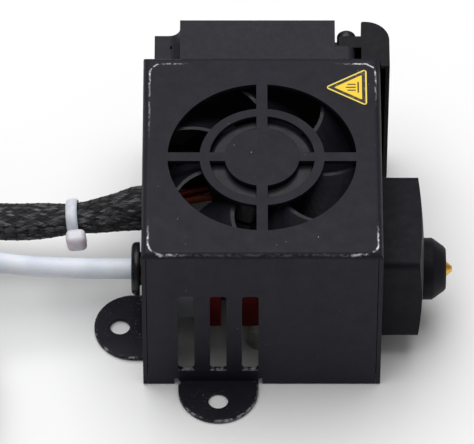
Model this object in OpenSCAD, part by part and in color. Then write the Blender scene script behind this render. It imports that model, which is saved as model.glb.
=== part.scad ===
// Hotend assembly of a filament printer, lying on its mounting plane. A folded steel shroud holds an
// axial fan behind a punched grille, and a side blower with a slot duct. Inside is a finned heat sink
// with a push-in tube coupler, a heat break, a heater block in a silicone sock and a brass nozzle.
// +X runs along the nozzle axis to the tip, +Y from the vent wall to the blower, +Z out of the grille.
// The origin is the middle of the two heat sink standoffs, on the mounting plane.

/* [Shroud] */
// Width over the two side walls
shroud_w = 45; // [43:0.5:54]
// Length from the vent wall to the blower wall
shroud_l = 48.6; // [47:0.1:57]
// Depth from the mounting plane to the front panel
shroud_d = 39; // [38:0.5:47]
// Thickness of the folded sheet
sheet_t = 0.8; // [0.6:0.1:1]
// Outside radius of the folds
fold_r = 1.4; // [1.2:0.1:2]
// Width of the cut corner seams
seam_w = 0.12; // [0.1:0.02:0.3]
// Distance of the nozzle axis from the vent wall
axis_from_vent = 18; // [17:0.5:20]
// Height of the nozzle axis over the mounting plane
axis_h = 12.5; // [11.5:0.5:13.5]

/* [Grille] */
// Diameter of the grille opening
grille_d = 35.5; // [32:0.5:36]
// Outside diameter of the middle ring
grille_ring_d = 23.5; // [20:0.5:26]
// Width of the middle ring
grille_ring_w = 1.85; // [1.4:0.05:2.4]
// Diameter of the centre disc
grille_disc_d = 14.1; // [10:0.5:16]
// Width of the cross bars
grille_bar_w = 2.1; // [1.4:0.1:3]

/* [Label] */
// Side of the printed triangle
label_side = 9.3; // [7:0.1:10]
// Distance of the triangle's middle from the blower wall
label_from_top = 7.9; // [7:0.1:9]

/* [Vents] */
// Number of vent slots
vent_count = 3; // [2:1:3]
// Width of a vent slot
vent_w = 3.1; // [2:0.1:3.6]
// Distance between slot centres
vent_pitch = 6.05; // [4.5:0.05:6.5]
// Centre of the first slot from the outside of the left wall
vent_first = 8.2; // [7:0.1:9]
// Lower end of the slots
vent_low = 4.3; // [3:0.1:6]
// Upper end of the slots
vent_high = 26.6; // [20:0.1:28]

/* [Mounting ears] */
// Radius of the ears
ear_r = 7.6; // [6.5:0.1:8.5]
// Distance of an ear's centre from its wall
ear_out = 1.9; // [1:0.1:3]
// Distance of an ear's hole from its wall
ear_hole_out = 4.6; // [4:0.1:5]
// Diameter of the ear holes
ear_hole_d = 3.8; // [3.2:0.1:4.2]
// Place of the left ear along Y
left_ear_y = -4.8; // [-6:0.1:-3]

/* [Fan] */
// Distance of the fan axis from the vent wall
fan_from_vent = 23.75; // [23:0.25:25]
// Side of the square axial fan
fan_w = 40; // [38:0.5:41]
// Thickness of the fan
fan_t = 10; // [10:0.5:11]
// Distance between the fan's screw holes
fan_pitch = 32; // [31:0.5:32.5]
// Diameter over the blade tips
fan_rotor_d = 36.6; // [34:0.2:37]
// Number of blades
fan_blades = 7; // [5:1:9]
// Gap between the blade tips and the frame
fan_tip_gap = 0.8; // [0.5:0.1:1]
// Outside diameter of the rotor's hub
hub_d = 20.4; // [20:0.2:22]

/* [Blower] */
// Width of the blower across its body
blower_w = 39.5; // [38.5:0.5:42]
// How far the blower's top edge lies under the front panel
blower_under = 1.45; // [1.2:0.05:2]
// Thickness of the blower
blower_t = 10.2; // [10:0.2:11.6]
// Thickness of the blower's cover
cover_t = 1; // [0.8:0.1:1.2]
// Diameter of the intake
intake_d = 25; // [22:0.5:27]
// Diameter over the impeller's blades
impeller_d = 30; // [28:0.5:31]
// Number of impeller blades
impeller_blades = 27; // [21:2:31]
// Thickness of the blower's mounting lug
lug_t = 3.7; // [3:0.1:4]
// Wall of the slot duct
duct_wall = 0.8; // [0.7:0.1:1]
// Reach of the duct past the shroud's side
duct_out = 1.9; // [1.8:0.1:2.6]

/* [Heat sink] */
// Width of the heat sink
sink_w = 20; // [19:0.5:22]
// Thickness of the heat sink
sink_t = 10; // [10:0.5:12]
// Distance between the standoff holes
standoff_pitch = 14; // [13:0.5:14.5]
// Diameter of the standoffs' clearance holes
standoff_hole_d = 3.2; // [3.1:0.1:3.4]
// Outside diameter of the standoffs
standoff_d = 6; // [5.6:0.1:6.4]
// Width of a groove between fins
groove_w = 1.5; // [1.2:0.1:1.7]
// Distance from one fin to the next
fin_pitch = 2.5; // [2.4:0.1:3]
// Half width of the web between the grooves
web_half = 3.7; // [3.6:0.1:4.2]

/* [Hot end] */
// Side of the square heater block
block_w = 20; // [18.5:0.5:21]
// Thickness of the heater block along the nozzle
block_t = 10; // [9:0.5:11]
// Free length of the heat break
break_gap = 2.5; // [2:0.1:3]
// Wall of the silicone sock
sock_wall = 1; // [0.8:0.1:1.2]
// Length of the nozzle outside the block
nozzle_out = 7.9; // [7.5:0.1:8.5]
// Diameter of the feed tube
tube_d = 4; // [3.8:0.1:4]
// Bore of the feed tube
tube_bore = 2; // [1.8:0.1:2.2]

/* [Harness] */
// Diameter of the braided sleeve
sleeve_d = 7; // [6:0.5:7]
// Thickness of the ties round the coils
tie_t = 0.8; // [0.6:0.1:1]
// Middle of the harness's turns, as a radius
sleeve_coil_r = 35; // [34:0.5:36]
// Middle of the feed tube's turns, as a radius
tube_coil_r = 22; // [20:0.5:23]
// Height of the feed tube's turns
tube_coil_h = 9.4; // [8.8:0.2:10]

/* [Hidden] */
eps = 0.01;
cut = 1;                     // how far a cut runs past a face
run = 0.05;                  // running clearance on radius
slip = 0.1;                  // clearance of parts that slip together

left_x = -shroud_w / 2;      // outside of the wall with the tube and the harness
right_x = shroud_w / 2;      // outside of the wall on the nozzle's side
vent_y = -axis_from_vent;    // outside of the vent wall
blower_y = vent_y + shroud_l;            // outside of the blower wall
fan_y = vent_y + fan_from_vent;          // fan axis
fan_z = shroud_d - sheet_t - fan_t;      // back of the fan
ear_x = left_x + vent_first + vent_pitch * (vent_count - 1) / 2;   // middle of the vent wall's ear

block_x = right_x - 4.2;     // the block's side towards the heat sink
block_end = block_x + block_t;
block_z = axis_h + 3.7;      // middle of the block
sink_end = block_x - break_gap;
sink_x = left_x + 11.5;      // the heat sink's tube end
sink_low = axis_h - sink_t / 2;
nozzle_tip = block_end + nozzle_out;
tube_r = tube_d / 2;
bore_r = tube_r + slip / 2;  // bores that the feed tube runs in
band = 7.5;                  // solid band of the heat sink around the standoffs

harness_y = 12;              // where the harness leaves
harness_z = 16.4;
harness_hole_d = 8.6;
lead_in = [left_x + 3.7, harness_y, harness_z];      // where the leads leave the braided sleeve
collet_d = 10.2;              // release ring of the coupler
collet_travel = 1;
collet_out = 2.3;            // how far the ring stands off the wall
collet_ring_t = 1.6;
collet_hole_d = 10.8;
collet_bore = 3.25;          // bore of the coupler's body, as a radius
body_end = left_x + sheet_t + 0.9;       // outer end of the coupler's body
cavity_end = sink_x - 2.6;

heater_r = 3;                // heater cartridge
heater_z = axis_h + 8;
heater_x = block_x + block_t / 2;
sensor_x = block_x + 2.5;
sensor_screw_x = sensor_x + 3;
sensor_screw_r = 1.25;
sensor_z = axis_h - 3.4;
screw_y = 7;                 // the two long screws through the block

// Small brushless motor that the fan and the blower share, heights from the back of the fan
plate_t = 1.6;               // motor plate
hub_low = 3.2;
hub_high = 9.4;
hub_wall = 0.8;
hub_top_t = 0.9;
post_r = 3.1;                // bearing post
post_top = 7.6;
bearing_r = 2.2;
shaft_r = 0.75;
pole_r = 7.4;
magnet_in = 7.9;
blower_drop = 0.4;           // the blower's floor is this much thinner than the fan's plate
stud_r = 1.5;
nut_t = 2.4;
nut_af = 5.5;

// Blower outline, in its own plane: x along X, y along Z
case_l = left_x + 2;
case_r = case_l + blower_w - 5;          // end of the full thickness
outlet_x = case_l + blower_w;            // end of the outlet
case_h = shroud_d - blower_under;
step_h = 4.6;                // height of the cut corner
step_w = 4.9;
step_r = 2.2;
lug_w = 3.8;
lug_h = 5.6;
wheel_x = case_l + 18;       // impeller axis
wheel_z = 19.2;
volute_r = 16.8;
outlet_low = 4.1;
outlet_high = 29.5;
corner_r = 2.5;
screw_r = 1;                 // small screws
screw_head_r = 1.8;
screw_head_t = 1.7;
low_screw = [case_l + 3, 3.2];
duct_screw_at = [case_r + 2.2, case_h - 2.15];
duct_x = right_x + duct_out;
duct_low = 3;
duct_high = case_h - 0.4;
duct_r = 4.6;                // outside of the duct's bend
arm_t = 2.85;
mouth_lip = 0.9;             // how far the duct's mouth reaches down the shroud's side

// Feed tube and harness outside the shroud
tube_route = [[left_x - collet_out, 0, axis_h], [-30, 0, 12.5], [-38, 0, 12.8], [-46, 0, 13.6],
    [-54, 0, 15.2], [-62, -1, 16.8], [-70, -1, 17.3], [-78, -1, 16.4], [-86, -1, 14], [-95, -1, 11.6]];
sleeve_route = [[-19.2, 12, 16.4], [-23, 12, 16.1], [-27, 12, 14.9], [-30.5, 12, 13.9], [-34, 12, 13.1],
    [-41, 12, 12.2], [-48, 12, 11.8], [-58, 13, 11.4], [-70, 14.4, 10.7], [-82, 15.3, 10.5],
    [-95, 15.5, 10.5]];
coil_at = [-95, -23];        // both coils lie round this point
coil_w = 2 * sleeve_d;       // the harness's turns lie two by two
sleeve_end = [[-56.5, -24, 3.5], [-56.6, -17, 3.5], [-56.9, -10, 3.5], [-57.4, -3, 3.5], [-58, 4, 3.5],
    [-59, 11, 3.5], [-60.2, 18, 3.5], [-61.6, 25, 3.5]];
end_at = [-61.6, 25, 3.5];   // where the shrink sleeve begins, turned by end_turn about +Y
end_turn = 12;
plug_at = 22;                // the plugs' lead side from there
plug_pitch = 6;
tie_w = 3.6;
sleeve_tie_a = 250;          // where the coils' ties sit, as angles round the coils
tube_tie_a = 200;

// ---- outlines and sweeps ----

// Points of an arc about [x, y], from angle a to angle b
function arc(x, y, r, a, b, n = 8) =
    [for (i = [0:n]) let (t = a + (b - a) * i / n) [x + r * cos(t), y + r * sin(t)]];

// Outline of a folded channel, open at the bottom
function channel(w, low, high, r) = concat([[-w / 2, low]], arc(r - w / 2, high - r, r, 180, 90),
    arc(w / 2 - r, high - r, r, 90, 0), [[w / 2, low]]);

// Rectangle with round corners, from [x0, y0] to [x1, y1]
function round_box(x0, y0, x1, y1, r, n = 6) = concat(
    arc(x1 - r, y1 - r, r, 0, 90, n), arc(x0 + r, y1 - r, r, 90, 180, n),
    arc(x0 + r, y0 + r, r, 180, 270, n), arc(x1 - r, y0 + r, r, 270, 360, n));

// Smooth curve through points, n steps between each two
function bend(p, n) = [for (i = [0:len(p) - 2]) for (k = [0:(i == len(p) - 2 ? n : n - 1)])
    let (a = p[max(i - 1, 0)], b = p[i], c = p[i + 1], d = p[min(i + 2, len(p) - 1)], t = k / n)
    0.5 * (2 * b + (c - a) * t + (2 * a - 5 * b + 4 * c - d) * t * t
           + (3 * b - a - 3 * c + d) * t * t * t)];

function unit(v) = v / norm(v);
function along(p, i) = unit(p[min(i + 1, len(p) - 1)] - p[max(i - 1, 0)]);

// Side directions that turn as little as possible along a line
function sides(p, i = 1, s = undef) =
    let (first = unit(cross([0, 0.1, 1], along(p, 0))), last = s == undef ? [first] : s)
    i >= len(p) ? last
    : let (t = along(p, i), v = last[i - 1] - t * (last[i - 1] * t))
      sides(p, i + 1, concat(last, [unit(v)]));

// Round tube along a line of points
module swept(p, r, n = 8) {
    s = sides(p);
    ring = [for (i = [0:len(p) - 1]) let (u = s[i], v = cross(along(p, i), u))
        for (k = [0:n - 1]) p[i] + r * (cos(360 * k / n) * u + sin(360 * k / n) * v)];
    m = len(p);
    polyhedron(concat(ring, [p[0], p[m - 1]]),
        concat(
            [for (i = [0:m - 2]) for (k = [0:n - 1])
                let (a = i * n + k, b = i * n + (k + 1) % n) [a, a + n, b]],
            [for (i = [0:m - 2]) for (k = [0:n - 1])
                let (a = i * n + k, b = i * n + (k + 1) % n) [b, a + n, b + n]],
            [for (k = [0:n - 1]) [m * n, k, (k + 1) % n]],
            [for (k = [0:n - 1]) [m * n + 1, (m - 1) * n + (k + 1) % n, (m - 1) * n + k]]),
        convexity = 6);
}

// Cylinders along X and along Y
module rod_x(x0, x1, r, y = 0, z = axis_h, fn = 48) {
    translate([x0, y, z]) rotate([0, 90, 0]) cylinder(r = r, h = x1 - x0, $fn = fn);
}
module rod_y(y0, y1, r, x, z, fn = 32) {
    translate([x, y1, z]) rotate([90, 0, 0]) cylinder(r = r, h = y1 - y0, $fn = fn);
}

// Children drawn in the blower's plane, with their height along Y
module in_blower() {
    translate([0, blower_y, 0]) mirror([0, 1, 0]) rotate([90, 0, 0]) children();
}

// Children at the two corners that the fan is held by, clear of the heater block
module at_fan_studs() {
    for (s = [-1, 1]) translate([s * fan_pitch / 2, fan_y + s * fan_pitch / 2, 0]) children();
}

// ---- shroud ----

// The shroud's outside, or its inside when t is the sheet's thickness
module folded(t, low) {
    intersection() {
        translate([0, vent_y + shroud_l + cut, 0]) rotate([90, 0, 0]) linear_extrude(shroud_l + 2 * cut)
            polygon(channel(shroud_w - 2 * t, low, shroud_d - t, fold_r - t));
        translate([-shroud_w, vent_y + shroud_l / 2, 0]) rotate([90, 0, 90]) linear_extrude(2 * shroud_w)
            polygon(channel(shroud_l - 2 * t, low, shroud_d - t, fold_r - t));
    }
}

// Ear that is folded out from a wall, drawn with the wall on its left and its hole to the right
module ear() {
    difference() {
        linear_extrude(sheet_t)
            polygon(concat([[-sheet_t, -ear_r]], arc(ear_out, 0, ear_r, -90, 90, 28), [[-sheet_t, ear_r]]));
        translate([ear_hole_out, 0, -cut]) cylinder(d = ear_hole_d, h = sheet_t + 2 * cut, $fn = 40);
    }
}

// Openings between the bars of the grille
module grille_gaps() {
    difference() {
        circle(d = grille_d, $fn = 96);
        difference() {
            circle(d = grille_ring_d, $fn = 80);
            circle(d = grille_ring_d - 2 * grille_ring_w, $fn = 80);
        }
        circle(d = grille_disc_d, $fn = 64);
        square([grille_d + cut, grille_bar_w], center = true);
        square([grille_bar_w, grille_d + cut], center = true);
    }
}

// Vent slot with round upper corners, drawn upright
module vent() { polygon(round_box(-vent_w / 2, vent_low, vent_w / 2, vent_high, 0.7, 5)); }

module shroud() {
    color([0.2, 0.2, 0.22]) {
        difference() {
            folded(0, 0);
            folded(sheet_t, -cut);
            translate([0, fan_y, shroud_d - sheet_t - cut]) linear_extrude(sheet_t + 2 * cut) grille_gaps();
            for (i = [0:vent_count - 1])
                translate([left_x + vent_first + i * vent_pitch, vent_y + sheet_t + cut, 0])
                    rotate([90, 0, 0]) linear_extrude(sheet_t + 2 * cut) vent();
            corner_seams();
            relief_cuts();
            side_holes();
            nozzle_cutout();
            blower_wall_holes();
        }
        translate([left_x, left_ear_y, 0]) mirror([1, 0, 0]) ear();
        translate([ear_x, vent_y, 0]) rotate([0, 0, -90]) ear();
    }
}

// Slits where the vent and blower walls meet the side walls
module corner_seams() {
    for (s = [-1, 1], y = [vent_y - cut, blower_y - sheet_t - cut / 2])
        translate([s * (right_x - sheet_t) - (s < 0 ? 0 : seam_w), y, -cut])
            cube([seam_w, sheet_t + 1.5 * cut, shroud_d - fold_r + cut]);
}

// Short cuts each side of the folded ears
module relief_cuts() {
    for (s = [-1, 1]) {
        translate([ear_x + s * (ear_r + 0.4) - 0.4, vent_y - cut, -cut])
            cube([0.8, sheet_t + 2 * cut, cut + 1.6]);
        translate([left_x - cut, left_ear_y + s * (ear_r + 0.4) - 0.4, -cut])
            cube([sheet_t + 2 * cut, 0.8, cut + 1.6]);
    }
}

// Holes for the tube coupler's ring and for the harness
module side_holes() {
    rod_x(left_x - cut, left_x + sheet_t + cut, collet_hole_d / 2);
    rod_x(left_x - cut, left_x + sheet_t + cut, harness_hole_d / 2, harness_y, harness_z);
}

// Open-backed cut-out that the heater block stands in
module nozzle_cutout() {
    gap = sock_wall + 1.6;
    translate([right_x - sheet_t - cut, 0, 0]) rotate([90, 0, 90]) linear_extrude(sheet_t + 2 * cut)
        polygon(concat([[-block_w / 2 - gap, -cut], [block_w / 2 + gap, -cut]],
            arc(block_w / 2 + gap - 2, block_z + block_w / 2 + gap - 2, 2, 0, 90, 6),
            arc(2 - block_w / 2 - gap, block_z + block_w / 2 + gap - 2, 2, 90, 180, 6)));
}

// Screw holes and the lead slot behind the blower
module blower_wall_holes() {
    for (p = [low_screw, duct_screw_at])
        rod_y(blower_y - sheet_t - cut, blower_y + cut, screw_r + slip, p[0], p[1]);
    translate([left_x + 4, blower_y - sheet_t - cut, 12]) cube([3, sheet_t + 2 * cut, 5]);
}

// Printed triangle on the front panel
module warning_label() {
    r = 0.5;
    h = label_side * sin(60);
    c = [for (a = [0, 120, 240]) (2 / 3 * h - 2 * r) * [-cos(a), -sin(a)]];
    color([0.9, 0.75, 0.15]) translate([right_x - 5.3, blower_y - label_from_top, shroud_d])
        linear_extrude(0.1)
        polygon(concat(arc(c[0][0], c[0][1], r, 120, 240, 5), arc(c[1][0], c[1][1], r, 240, 360, 5),
                       arc(c[2][0], c[2][1], r, 0, 120, 5)));
}

// ---- motor parts that the fan and the blower share ----

module motor_post() {
    difference() {
        cylinder(r = post_r, h = post_top, $fn = 40);
        translate([0, 0, plate_t]) cylinder(r = bearing_r, h = post_top, $fn = 40);
    }
}
module motor_bearing() {
    color([0.72, 0.55, 0.35]) difference() {
        translate([0, 0, plate_t]) cylinder(r = bearing_r, h = post_top - plate_t, $fn = 40);
        cylinder(r = shaft_r + run, h = 20, $fn = 32);
    }
}
module motor_shaft() {
    color([0.8, 0.8, 0.82]) translate([0, 0, plate_t + 0.2])
        cylinder(r = shaft_r, h = hub_high - plate_t - 0.6, $fn = 32);
}
module motor_magnet() {
    color([0.25, 0.24, 0.24]) translate([0, 0, hub_low + 0.3]) difference() {
        cylinder(r = hub_d / 2 - hub_wall, h = 4.6, $fn = 64);
        translate([0, 0, -cut]) cylinder(r = magnet_in, h = 8, $fn = 64);
    }
}
// Laminated core with four poles
module motor_stator() {
    color([0.55, 0.55, 0.57]) translate([0, 0, 4.2]) linear_extrude(2.4) difference() {
        union() {
            circle(r = 4.2, $fn = 40);
            for (a = [45:90:315]) rotate(a) {
                translate([2, -0.8]) square([4.6, 1.6]);
                intersection() {
                    difference() { circle(r = pole_r, $fn = 64); circle(r = pole_r - 1, $fn = 64); }
                    translate([0, -4.6]) square([10, 9.2]);
                }
            }
        }
        circle(r = post_r, $fn = 40);
    }
}
// Four wound coils around the poles
module motor_coils() {
    color([0.75, 0.42, 0.2]) for (a = [45:90:315]) rotate([0, 0, a]) difference() {
        translate([4.4, -1.7, 3.4]) cube([1.8, 3.4, 4]);
        translate([2, -0.8, 4.2]) cube([6, 1.6, 2.4]);
    }
}
module motor_board() {
    color([0.1, 0.35, 0.2]) translate([0, 0, plate_t]) linear_extrude(0.8) difference() {
        circle(r = 8.8, $fn = 48);
        circle(r = post_r, $fn = 40);
    }
}
// Cup of a rotor, open towards the motor plate
module hub_cup() {
    difference() {
        rotate_extrude($fn = 72) polygon(concat([[0, hub_low], [hub_d / 2, hub_low]],
            arc(hub_d / 2 - 1, hub_high - 1, 1, 0, 90, 6), [[0, hub_high]]));
        translate([0, 0, -cut])
            cylinder(r = hub_d / 2 - hub_wall, h = hub_high - hub_top_t + cut, $fn = 64);
        translate([0, 0, hub_high - 4]) cylinder(r = shaft_r, h = 3.6, $fn = 32);
    }
    // boss that carries the shaft
    translate([0, 0, post_top + 0.3]) difference() {
        cylinder(r = 2, h = hub_high - hub_top_t - post_top - 0.3 + eps, $fn = 32);
        translate([0, 0, -cut]) cylinder(r = shaft_r, h = 4, $fn = 32);
    }
}

module in_fan() { translate([0, fan_y, fan_z]) children(); }
module in_wheel() { in_blower() translate([wheel_x, wheel_z, -blower_drop]) children(); }

// ---- axial fan ----

module fan_frame() {
    bore = fan_rotor_d / 2 + fan_tip_gap;
    color([0.09, 0.09, 0.1]) in_fan() {
        difference() {
            linear_extrude(fan_t) polygon(round_box(-fan_w / 2, -fan_w / 2, fan_w / 2, fan_w / 2, 3));
            translate([0, 0, -cut]) cylinder(r = bore, h = fan_t + 2 * cut, $fn = 96);
            for (x = [-1, 1], y = [-1, 1]) translate([x * fan_pitch / 2, y * fan_pitch / 2, -cut])
                cylinder(r = stud_r + 0.2, h = fan_t + 2 * cut, $fn = 32);
            // waist between the two flanges
            for (a = [0:90:270]) rotate([0, 0, a]) translate([fan_w / 2 - 0.6, -9, 2.4])
                cube([cut, 18, fan_t - 4.8]);
        }
        // three struts and the motor plate
        difference() {
            for (a = [30, 150, 270]) rotate([0, 0, a]) translate([0, -1.2, 0])
                cube([bore + 0.4, 2.4, plate_t]);
            cylinder(r = post_r, h = 9, center = true, $fn = 40);
        }
        difference() {
            cylinder(r = 9.6, h = plate_t, $fn = 72);
            translate([0, 0, -cut]) cylinder(r = post_r - 0.4, h = 9, $fn = 40);
        }
        motor_post();
    }
}

// Blade outline in the fan's plane, swept back towards its tip
module blade_outline() {
    r0 = hub_d / 2 - 0.3;
    r1 = fan_rotor_d / 2;
    lead = [for (i = [0:6]) let (r = r0 + (r1 - r0) * i / 6, a = 16 * pow(i / 6, 1.6))
        [r * cos(a), r * sin(a)]];
    trail = [for (i = [6:-1:0]) let (r = r0 + (r1 - r0) * i / 6, a = 16 * pow(i / 6, 1.6) + 57.3 * 0.8 / r)
        [r * cos(a), r * sin(a)]];
    polygon(concat(lead, trail));
}

module fan_rotor() {
    color([0.12, 0.12, 0.13]) in_fan() {
        hub_cup();
        for (i = [0:fan_blades - 1]) rotate([0, 0, i * 360 / fan_blades])
            translate([0, 0, 3]) linear_extrude(height = 6, twist = -34, slices = 7) blade_outline();
    }
}
module fan_shaft() { in_fan() motor_shaft(); }
module fan_magnet() { in_fan() motor_magnet(); }
module fan_bearing() { in_fan() motor_bearing(); }
module fan_stator() { in_fan() motor_stator(); }
module fan_coils() { in_fan() motor_coils(); }
module fan_board() { in_fan() motor_board(); }

// Studs that are pressed into the front panel from behind
module fan_studs() {
    color([0.7, 0.7, 0.72]) at_fan_studs()
        translate([0, 0, fan_z - nut_t - 0.8]) cylinder(r = stud_r, h = fan_t + nut_t + 0.8, $fn = 32);
}
module fan_nuts() {
    color([0.75, 0.75, 0.77]) at_fan_studs() translate([0, 0, fan_z - nut_t]) difference() {
        cylinder(d = nut_af / cos(30), h = nut_t, $fn = 6);
        translate([0, 0, -cut]) cylinder(r = stud_r, h = nut_t + 2 * cut, $fn = 32);
    }
}

// ---- blower ----

// Outline of the housing at its full thickness
module case_outline() {
    difference() {
        union() {
            polygon(concat([[case_l, case_h], [case_l, corner_r]],
                arc(case_l + corner_r, corner_r, corner_r, 180, 270, 6),
                [[case_r, 0], [case_r, case_h]]));
            translate([case_r - eps, outlet_low - 1.6])
                square([outlet_x - case_r + eps, outlet_high - outlet_low + 3.2]);
        }
        // cut corner with a hollow curve up to the body
        polygon(concat([[case_l - cut, case_h + cut], [case_l - cut, case_h - step_h]],
            arc(case_l + step_w - step_r, case_h - step_h + step_r, step_r, 270, 360, 8),
            [[case_l + step_w, case_h + cut]]));
    }
}
// Space that the wheel turns in, with the channel to the outlet
module volute() {
    translate([wheel_x, wheel_z]) circle(r = volute_r, $fn = 96);
    translate([wheel_x, outlet_low]) square([outlet_x - wheel_x + cut, outlet_high - outlet_low]);
}
module blower_screw_holes(r) {
    for (p = [low_screw, duct_screw_at])
        translate([p[0], p[1], -cut]) cylinder(r = r, h = blower_t + 2 * cut, $fn = 32);
}

module blower_case() {
    floor_t = plate_t - blower_drop;
    color([0.21, 0.21, 0.24]) in_blower() difference() {
        union() {
            difference() {
                linear_extrude(blower_t - cover_t) case_outline();
                translate([0, 0, floor_t]) linear_extrude(blower_t) volute();
            }
            // mounting lug beside the outlet, at part of the thickness
            linear_extrude(lug_t) polygon(concat(
                [[case_r - eps, case_h], [case_r - eps, case_h - lug_h], [case_r + lug_w, case_h - lug_h]],
                arc(case_r + lug_w - 1.5, case_h - 1.5, 1.5, 0, 90, 6)));
            translate([wheel_x, wheel_z, -blower_drop]) intersection() {
                motor_post();
                translate([0, 0, blower_drop + post_top / 2]) cube([20, 20, post_top], center = true);
            }
        }
        blower_screw_holes(screw_r + slip);
        // small latch pocket in the cut corner
        translate([case_l + step_w - 1.9, case_h - step_h - 0.9, blower_t - 3.4]) cube([1.2, cut, 0.9]);
        // lead slot through the floor
        translate([left_x + 4, 12, -cut]) cube([3, 5, floor_t + 2 * cut]);
    }
}
module blower_cover() {
    color([0.22, 0.22, 0.25]) in_blower() difference() {
        translate([0, 0, blower_t - cover_t]) linear_extrude(cover_t) case_outline();
        translate([wheel_x, wheel_z, 0]) cylinder(d = intake_d, h = 2 * blower_t, $fn = 80);
        blower_screw_holes(screw_r + slip);
    }
}
// One forward-curved blade in the wheel's plane
module wheel_blade() {
    r0 = impeller_d / 2 - 3.4;
    r1 = impeller_d / 2 - 0.3;
    polygon(concat(
        [for (i = [0:4]) let (r = r0 + (r1 - r0) * i / 4, a = 2.2 * i * i / 4) [r * cos(a), r * sin(a)]],
        [for (i = [4:-1:0]) let (r = r0 + (r1 - r0) * i / 4, a = 2.2 * i * i / 4 + 57.3 * 0.5 / r)
            [r * cos(a), r * sin(a)]]));
}
module blower_impeller() {
    wheel_top = blower_t - cover_t - 0.6 + blower_drop;
    color([0.12, 0.12, 0.13]) in_wheel() {
        hub_cup();
        // disc, blades and the ring that ties their upper ends
        translate([0, 0, hub_low]) linear_extrude(0.8) difference() {
            circle(r = impeller_d / 2, $fn = 80);
            circle(r = hub_d / 2 - 0.4, $fn = 72);
        }
        translate([0, 0, hub_low + 0.4]) linear_extrude(wheel_top - hub_low - 0.6)
            for (i = [0:impeller_blades - 1]) rotate(i * 360 / impeller_blades) wheel_blade();
        translate([0, 0, wheel_top - 0.7]) linear_extrude(0.7) difference() {
            circle(r = impeller_d / 2, $fn = 80);
            circle(r = impeller_d / 2 - 1.2, $fn = 80);
        }
    }
}
module blower_shaft() { in_wheel() motor_shaft(); }
module blower_magnet() { in_wheel() motor_magnet(); }
module blower_bearing() { in_wheel() motor_bearing(); }
module blower_stator() { in_wheel() motor_stator(); }
module blower_coils() { in_wheel() motor_coils(); }
module blower_board() { in_wheel() motor_board(); }

// Pan-head screw along Y with a cross recess, seated at height y over the blower wall
module small_screw(p, y) {
    color([0.12, 0.12, 0.13]) in_blower() translate([p[0], p[1], 0]) difference() {
        union() {
            translate([0, 0, -sheet_t - 2.2]) cylinder(r = screw_r, h = y + sheet_t + 2.2 + eps, $fn = 32);
            translate([0, 0, y]) rotate_extrude($fn = 48) polygon(concat([[0, 0], [screw_head_r, 0]],
                arc(screw_head_r - 0.6, screw_head_t - 0.6, 0.6, 0, 90, 5), [[0, screw_head_t]]));
        }
        for (a = [45, 135]) rotate(a) translate([-1, -0.2, y + screw_head_t - 0.8]) cube([2, 0.4, cut]);
    }
}
module blower_screw() { small_screw(low_screw, blower_t); }
module duct_screw() { small_screw(duct_screw_at, lug_t + arm_t); }
module blower_nuts() {
    color([0.75, 0.75, 0.77]) in_blower() for (p = [low_screw, duct_screw_at])
        translate([p[0], p[1], -sheet_t - 1.6]) difference() {
            cylinder(d = 4 / cos(30), h = 1.6, $fn = 6);
            translate([0, 0, -cut]) cylinder(r = screw_r, h = 1.6 + 2 * cut, $fn = 32);
        }
}

// Elbow in cross section, X across and Y up, its wall w inside the outline
function elbow(w) =
    let (start_x = outlet_x - (w > 0 ? cut : 0), mouth_y = blower_y - mouth_lip - (w > 0 ? cut : 0))
    concat(
        w > 0 ? [[start_x, blower_y + blower_t - w]]
            : arc(start_x + 0.4, blower_y + blower_t - 0.4, 0.4, 180, 90, 4),
        arc(duct_x - duct_r, blower_y + blower_t - duct_r, duct_r - w, 90, 0, 10),
        [[duct_x - w, mouth_y], [right_x + slip, mouth_y], [right_x + slip, blower_y + slip + w],
         [start_x, blower_y + slip + w]]);
module air_duct() {
    arm_x = duct_screw_at[0] - 1.5;
    arm_y = blower_y + lug_t;
    color([0.13, 0.13, 0.15]) difference() {
        union() {
            translate([0, 0, duct_low]) linear_extrude(duct_high - duct_low) polygon(elbow(0));
            // arm that is screwed to the blower's lug
            translate([0, 0, duct_high - lug_h]) linear_extrude(lug_h)
                polygon(concat([[outlet_x + duct_wall / 2, arm_y + arm_t]],
                    arc(arm_x + 0.4, arm_y + arm_t - 0.4, 0.4, 90, 180, 4),
                    arc(arm_x + 0.4, arm_y + 0.4, 0.4, 180, 270, 4),
                    [[outlet_x + duct_wall / 2, arm_y]]));
        }
        // air passage, closed above the outlet by the side wall
        translate([0, 0, duct_low + duct_wall]) linear_extrude(outlet_high - duct_low - duct_wall)
            polygon(elbow(duct_wall));
        difference() {
            translate([0, 0, duct_low + duct_wall]) linear_extrude(duct_high - duct_low - 2 * duct_wall)
                polygon(elbow(duct_wall));
            translate([outlet_x - 2 * cut, blower_y, 0])
                cube([2 * cut + duct_wall, 2 * blower_t, 2 * duct_high]);
        }
        rod_y(blower_y, blower_y + 2 * blower_t, screw_r + slip, duct_screw_at[0], duct_screw_at[1]);
    }
}

// ---- heat sink and tube coupler ----

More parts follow.
